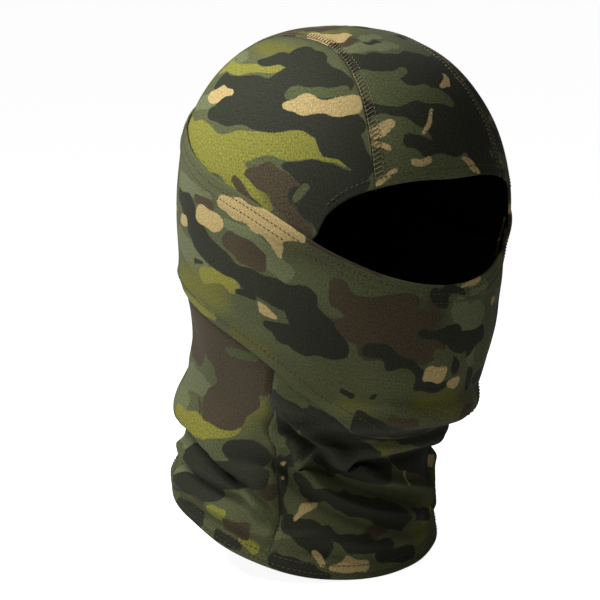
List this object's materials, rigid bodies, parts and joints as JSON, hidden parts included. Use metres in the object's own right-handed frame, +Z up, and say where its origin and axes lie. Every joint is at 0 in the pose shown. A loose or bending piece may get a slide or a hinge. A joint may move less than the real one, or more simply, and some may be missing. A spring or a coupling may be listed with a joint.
{
  "type": "camouflage face mask",
  "caption": "Camouflage cloth hood for head, face and neck, with an eye opening and a face cover that pulls down below the chin.",
  "frame": {"origin": "inside of the crown, on the head's centre line, where the head carries the mask", "axes": "+Z up, the face looks along -Y, the wearer's right is -X"},
  "size_m": [0.172, 0.2118, 0.2901],
  "materials": {
    "printed_cloth": "matt camouflage-printed knitted polyester",
    "cover_cloth": "matt camouflage-printed knitted polyester",
    "hem_cloth": "dark unprinted back of the same cloth",
    "seam_thread": "tan-brown polyester sewing thread",
    "hem_thread": "dark green polyester sewing thread"
  },
  "bodies": {
    "hood": {"crown_centre_panel": "printed_cloth", "hood_side_panel_right": "printed_cloth", "hood_side_panel_left": "printed_cloth", "neck_side_panel_right": "printed_cloth", "neck_side_panel_left": "printed_cloth", "neck_front_panel": "printed_cloth", "brow_hem": "hem_cloth", "bottom_hem": "hem_cloth", "cover_back_band": "printed_cloth", "crown_stitching_right": "seam_thread", "crown_stitching_left": "seam_thread", "brow_stitching": "hem_thread", "hem_stitching_upper": "hem_thread", "hem_stitching_lower": "hem_thread", "neck_seam_right": "hem_thread", "neck_seam_left": "hem_thread", "back_seam": "hem_thread"},
    "face_cover": {"face_cover": "cover_cloth", "face_cover_hem": "hem_cloth", "cover_stitching_upper": "hem_thread", "cover_stitching_lower": "hem_thread"}
  },
  "joints": [
    {"name": "cover_pull_down", "type": "slide", "parent": "hood", "child": "face_cover", "axis": [0, 0, -1], "range_m": [0, 0.085]}
  ]
}
